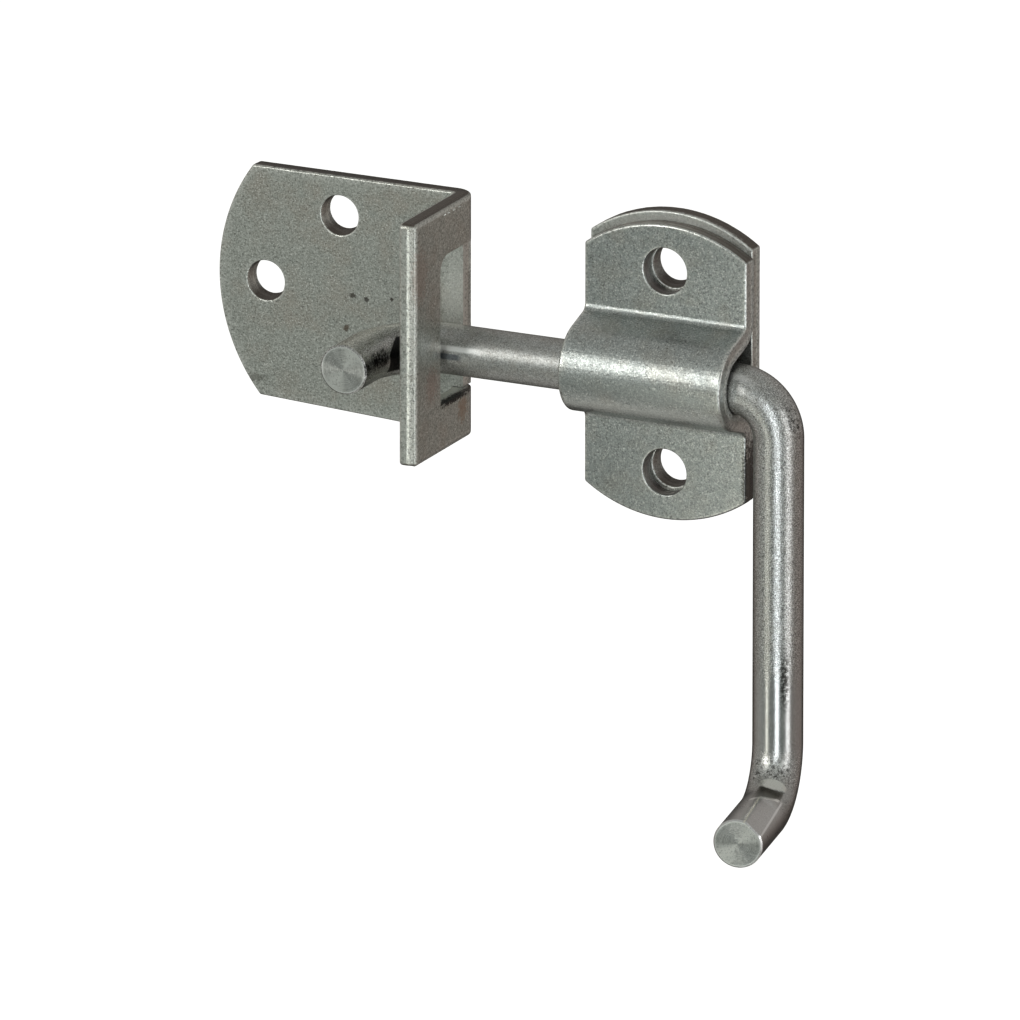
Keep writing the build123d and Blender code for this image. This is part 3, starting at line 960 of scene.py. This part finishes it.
def bar_steel(name):
    """Drawn bar: sandy on the handle, smoother where the dies rubbed it, with pits, scale, a dark patch, and
    painted highlights and shade.

    Places along the bar are lengths s from the hook's end in mm, and angles a round it in degrees."""
    n = Nodes(name)
    around, along = n.uv("bar")
    a = n.times(around, 360.0)
    s = n.times(along, BAR_MAP)
    fine = n.noise(2.3, 3.0, 0.6)
    speck = n.noise(3.6, 2.0, 0.6)
    blotch = n.noise(0.45, 5.0, 0.68)
    pits = n.noise(1.1, 4.0, 0.7)

    def patch(s0, s1, a0, a1, soft_s, soft_a):
        return n.times(n.between(s, s0, s1, soft_s), n.between(a, a0, a1, soft_a))

    def ridge_highlight_at(angle, half_width):
        return n.between(a, n.minus(angle, half_width), n.plus(angle, half_width), 3.0)

    polished = n.between(s, 188.0, 221.0, 12.0)
    spindle = n.least(n.span(s, 124.0, 112.0), n.span(s, 22.0, 32.0))
    foot_skin = n.span(s, 224.0, 228.0, 0.0, 0.8)
    smooth = n.most(n.most(polished, n.times(spindle, 0.75)), foot_skin)
    rough_skin = n.minus(1.0, n.times(smooth, 0.8))
    colour = n.mix(n.span(fine, 0.36, 0.62), (0.29, 0.29, 0.282), (0.54, 0.545, 0.535))
    colour = n.mix(n.span(blotch, 0.45, 0.68, 0.0, 0.5), colour, (0.33, 0.31, 0.28))
    colour = n.mix(n.times(n.span(speck, 0.53, 0.64, 0.0, 0.8), rough_skin), colour, (0.95, 0.95, 0.94))
    colour = n.mix(n.times(n.span(speck, 0.46, 0.36, 0.0, 0.8), rough_skin), colour, (0.10, 0.095, 0.09))
    colour = n.mix(n.times(polished, 0.6), colour, (0.46, 0.46, 0.46))

    # Dark pits where their noise is low: the handle's smudge, the foot's bend and the handle's bend
    for place, none, full in ((patch(184.0, 205.0, 34.0, 66.0, 8.0, 13.0), 0.57, 0.47),
                              (patch(216.0, 227.0, 20.0, 130.0, 3.0, 12.0), 0.47, 0.38),
                              (patch(126.0, 134.0, -5.0, 40.0, 3.0, 10.0), 0.50, 0.40)):
        mask = n.times(place, n.span(pits, none, full))
        colour = n.mix(n.times(mask, 0.92), colour, (0.035, 0.033, 0.03))
    pale_pits = n.times(patch(216.0, 227.0, 30.0, 100.0, 3.0, 12.0), n.span(pits, 0.52, 0.6))
    colour = n.mix(n.times(pale_pits, 0.6), colour, (0.85, 0.85, 0.82))

    # The die's mark on the foot, painted in as light and shade: a painted highlight on the crescent, painted
    # shade on the step, a paler pressed band, and painted highlights on the step's lip and along the flat's
    # two ridges
    top = n.line(a, 35.0, 0.0217, 229.4)
    foot = n.line(a, 31.0, 0.093, 234.9)
    sideways = n.minus(a, 62.0)
    arch = n.line(n.times(sideways, sideways), 0.0, 0.0016, 225.4)
    across = n.between(a, 31.0, 95.0, 4.0)
    crescent_highlight = n.times(n.between(s, arch, top, 0.5), n.between(a, 26.0, 98.0, 8.0))
    # step is the painted shade on the die's step
    step = n.times(n.between(s, top, foot, 0.35), across)
    lip_highlight = n.times(n.between(s, foot, n.plus(foot, 1.7), 0.4), across)
    right_ridge_highlight = n.times(ridge_highlight_at(n.line(s, 235.2, -0.65, 26.0), 4.0), n.span(s, 234.0, 236.0))
    left_ridge_highlight = n.times(ridge_highlight_at(n.line(s, 243.7, -0.58, 72.0), 3.5), n.span(s, 237.0, 241.0))

    # Scale on the hook, painted shade on the band behind the keeper's flange, a dark blue-black patch beside
    # it, and two painted highlights on the spindle
    # Painted shade: a near-black band on the hook's bend behind the flange
    flange_shade_start = n.line(n.most(n.minus(78.0, a), 0.0), 0.0, 0.16, 14.3)
    flange_shade = n.times(n.between(s, flange_shade_start, 27.0, 0.5), n.between(a, 40.0, 128.0, 5.0))
    scale = n.span(pits, 0.57, 0.45)
    hook_front = n.times(patch(-2.0, 14.0, 66.0, 104.0, 1.0, 10.0), scale)
    hook_side = n.times(patch(3.5, 13.0, 52.0, 92.0, 2.0, 12.0), scale)
    hook_below = n.times(patch(-1.0, 14.0, 340.0, 361.0, 1.0, 8.0), scale)
    for mask, hue, amount in ((crescent_highlight, (0.80, 0.79, 0.74), 0.75),
                              (step, (0.10, 0.095, 0.08), 0.8),
                              (n.span(s, 233.0, 241.0), (0.74, 0.73, 0.73), 0.6),
                              (lip_highlight, (1.0, 1.0, 0.97), 0.9),
                              (right_ridge_highlight, WHITE, 0.85),
                              (left_ridge_highlight, (0.9, 0.86, 0.72), 0.6),
                              (flange_shade, (0.015, 0.015, 0.016), 0.96),
                              (hook_front, (0.02, 0.02, 0.02), 0.9),
                              (hook_side, (0.012, 0.012, 0.013), 0.95),
                              (hook_below, (0.2, 0.2, 0.2), 0.4),
                              (patch(33.0, 43.5, 81.0, 100.0, 2.0, 5.0), (0.07, 0.085, 0.11), 0.75),
                              # Painted highlights on the spindle beside the flange and beside the bearing
                              (patch(31.0, 50.0, 62.0, 80.0, 6.0, 6.0), WHITE, 0.8),
                              (patch(112.0, 122.0, 30.0, 56.0, 4.0, 10.0), (0.95, 0.95, 0.95), 0.5)):
        colour = n.mix(n.times(mask, amount), colour, hue)

    sandy = n.times(n.plus(fine, n.times(speck, 0.35)), n.minus(1.0, smooth))
    normal = n.bump(n.plus(sandy, n.times(blotch, 0.25)), 0.06)
    worn = n.plus(n.span(blotch, 0.3, 0.7, 0.26, 0.33), n.times(spindle, 0.15))
    roughness = n.minus(worn, n.times(polished, 0.06))
    n.to_shader(Base_Color=colour, Roughness=roughness, Normal=normal, Metallic=1.0,
                Specular_Tint=(0.66, 0.64, 0.62))
    return n.material


def turned_steel(name):
    """A turned end face: fine rings that reflect as a bow-tie of light, the bow-tie also painted in as
    highlight and shade, mottled, with a painted highlight round its rim.
    """
    n = Nodes(name)
    around, radius = n.uv("turned")
    fine = n.noise(4.0, 4.0, 0.6)
    mottle = n.noise(1.7, 4.0, 0.7)
    rings = n.add("ShaderNodeTexNoise", noise_dimensions="1D")
    rings.inputs["Scale"].default_value = 45.0
    rings.inputs["Detail"].default_value = 6.0
    n.link(radius, rings.inputs["W"])
    bow_tie_light = n.math("COSINE", n.times(n.minus(around, 0.09), 4.0 * math.pi))
    colour = n.mix(n.span(rings.outputs["Fac"], 0.3, 0.7), (0.44, 0.44, 0.415), (0.74, 0.74, 0.71))
    # Painted highlight and shade in a bow-tie
    colour = n.mix(n.span(bow_tie_light, 0.1, 1.0, 0.0, 0.85), colour, (1.0, 1.0, 0.96))
    colour = n.mix(n.span(bow_tie_light, -0.5, -1.0, 0.0, 0.35), colour, (0.3, 0.3, 0.29))
    colour = n.mix(n.span(mottle, 0.48, 0.36, 0.0, 0.45), colour, (0.22, 0.22, 0.21))
    colour = n.mix(n.span(mottle, 0.56, 0.66, 0.0, 0.5), colour, (1.0, 1.0, 0.97))
    # Painted highlight round the rim
    colour = n.mix(n.span(radius, 5.55 / CAP_MAP, 5.75 / CAP_MAP), colour, (0.95, 0.95, 0.92))
    tangent = n.add("ShaderNodeTangent", direction_type="UV_MAP", uv_map="turned")
    n.link(tangent.outputs[0], n.shader.inputs["Tangent"])
    n.to_shader(Base_Color=colour, Roughness=n.span(fine, 0.3, 0.7, 0.26, 0.36),
                Normal=n.bump(rings.outputs["Fac"], 0.012), Metallic=1.0, Anisotropic=0.75)
    return n.material


# Stains, painted shade and painted highlights on the sheets: centre and radii in mm, colour, strength

KEEPER_SPOTS = [((-90.3, -4.55, -1.4), (1.1, 2.0, 1.1), (0.11, 0.07, 0.045), 0.75),
                ((-88.5, -4.55, 7.2), (1.3, 2.0, 0.8), (0.07, 0.06, 0.05), 0.8),
                ((-84.6, -4.55, 6.6), (0.8, 2.0, 0.8), OLD_OIL, 0.8),
                ((-77.8, -4.55, 7.6), (0.8, 2.0, 0.7), OLD_OIL, 0.8),
                ((-56.0, -9.0, -16.5), (2.0, 3.2, 4.2), (0.34, 0.22, 0.14), 0.6),
                ((-56.0, -26.5, -6.0), (2.0, 4.0, 6.0), RUST, 0.4),
                ((-56.0, -33.0, 24.0), (2.0, 5.0, 9.0), (0.42, 0.31, 0.26), 0.4),
                # Painted highlight: a lighter strip beside the fold
                ((-60.0, -4.55, 6.5), (5.0, 1.5, 26.0), (0.80, 0.81, 0.77), 0.4),
                ((-115.5, -4.55, -17.5), (4.0, 2.0, 1.3), (0.12, 0.11, 0.09), 0.5),
                # Painted shade along the top edge
                ((-92.0, -1.8, 37.7), (44.0, 3.2, 1.0), (0.05, 0.045, 0.04), 0.6),
                # Painted highlight on the window's sill, and a painted shadow just under it
                ((-59.2, -13.0, -12.75), (2.6, 13.0, 1.0), (0.96, 0.96, 0.92), 0.9),
                ((-56.3, -13.0, -12.9), (2.2, 11.0, 1.3), (0.01, 0.009, 0.008), 0.97)]
# Painted shade on the right side beside the handle
STRAP_SPOTS = [((22.2, -7.0, -26.0), (1.4, 7.0, 15.0), SHADE, 0.92),
               # Painted shade on the lower lug and low on the hump, and a painted reflection below it on the
               # hump
               ((0.0, -9.1, -29.0), (34.0, 1.5, 18.0), (0.26, 0.275, 0.27), 0.3),
               ((0.0, -24.6, -1.6), (40.0, 2.4, 3.4), (0.28, 0.30, 0.295), 0.5),
               ((0.0, -22.0, -6.6), (40.0, 3.0, 3.4), (0.72, 0.73, 0.70), 0.4)]
# Painted shade on the right side beside the handle, and a painted highlight on the top of the front face
PLATE_SPOTS = [((21.7, -2.0, -26.0), (1.4, 6.0, 15.0), SHADE, 0.92),
               ((0.0, -4.55, 37.0), (32.0, 1.2, 9.0), (0.82, 0.83, 0.80), 0.5)]


# Building the scene

bpy.context.scene.view_settings.view_transform = "Standard"
make_camera()
make_world()
make_floor()
softbox("main", azimuth=-26.0, elevation=21.5, width=13.0, height=22.0, glow=6.8, colour=(1.0, 1.0, 0.96))
softbox("main_low", azimuth=-25.6, elevation=-17.0, width=8.0, height=54.0, glow=2.4,
        colour=(1.0, 0.99, 0.88), distance=0.15, target=Vector((33.0, -19.0, -58.0)))
softbox("front", azimuth=24.0, elevation=-6.0, width=12.0, height=60.0, glow=4.4, colour=(0.92, 0.97, 1.0))
softbox("right", azimuth=72.0, elevation=-4.0, width=16.0, height=60.0, glow=2.1)

keeper_steel = sheet_steel("keeper_steel", (0.35, 0.36, 0.33), (0.62, 0.635, 0.59), (0.45, 0.40, 0.345),
                           rough=0.42, spots=KEEPER_SPOTS, tear_highlight=0.7)
strap_steel = sheet_steel("strap_steel", (0.31, 0.33, 0.325), (0.52, 0.55, 0.54), (0.40, 0.38, 0.34),
                          rough=0.35, grain=0.65, spots=STRAP_SPOTS)
plate_steel = sheet_steel("plate_steel", (0.30, 0.31, 0.29), (0.54, 0.55, 0.52), (0.38, 0.33, 0.29),
                          rough=0.42, spots=PLATE_SPOTS)
rod_steel = bar_steel("rod_steel")
end_steel = turned_steel("turned_steel")

make_keeper([keeper_steel])
make_back_plate([plate_steel])
make_strap([strap_steel])
make_rod([rod_steel, end_steel])
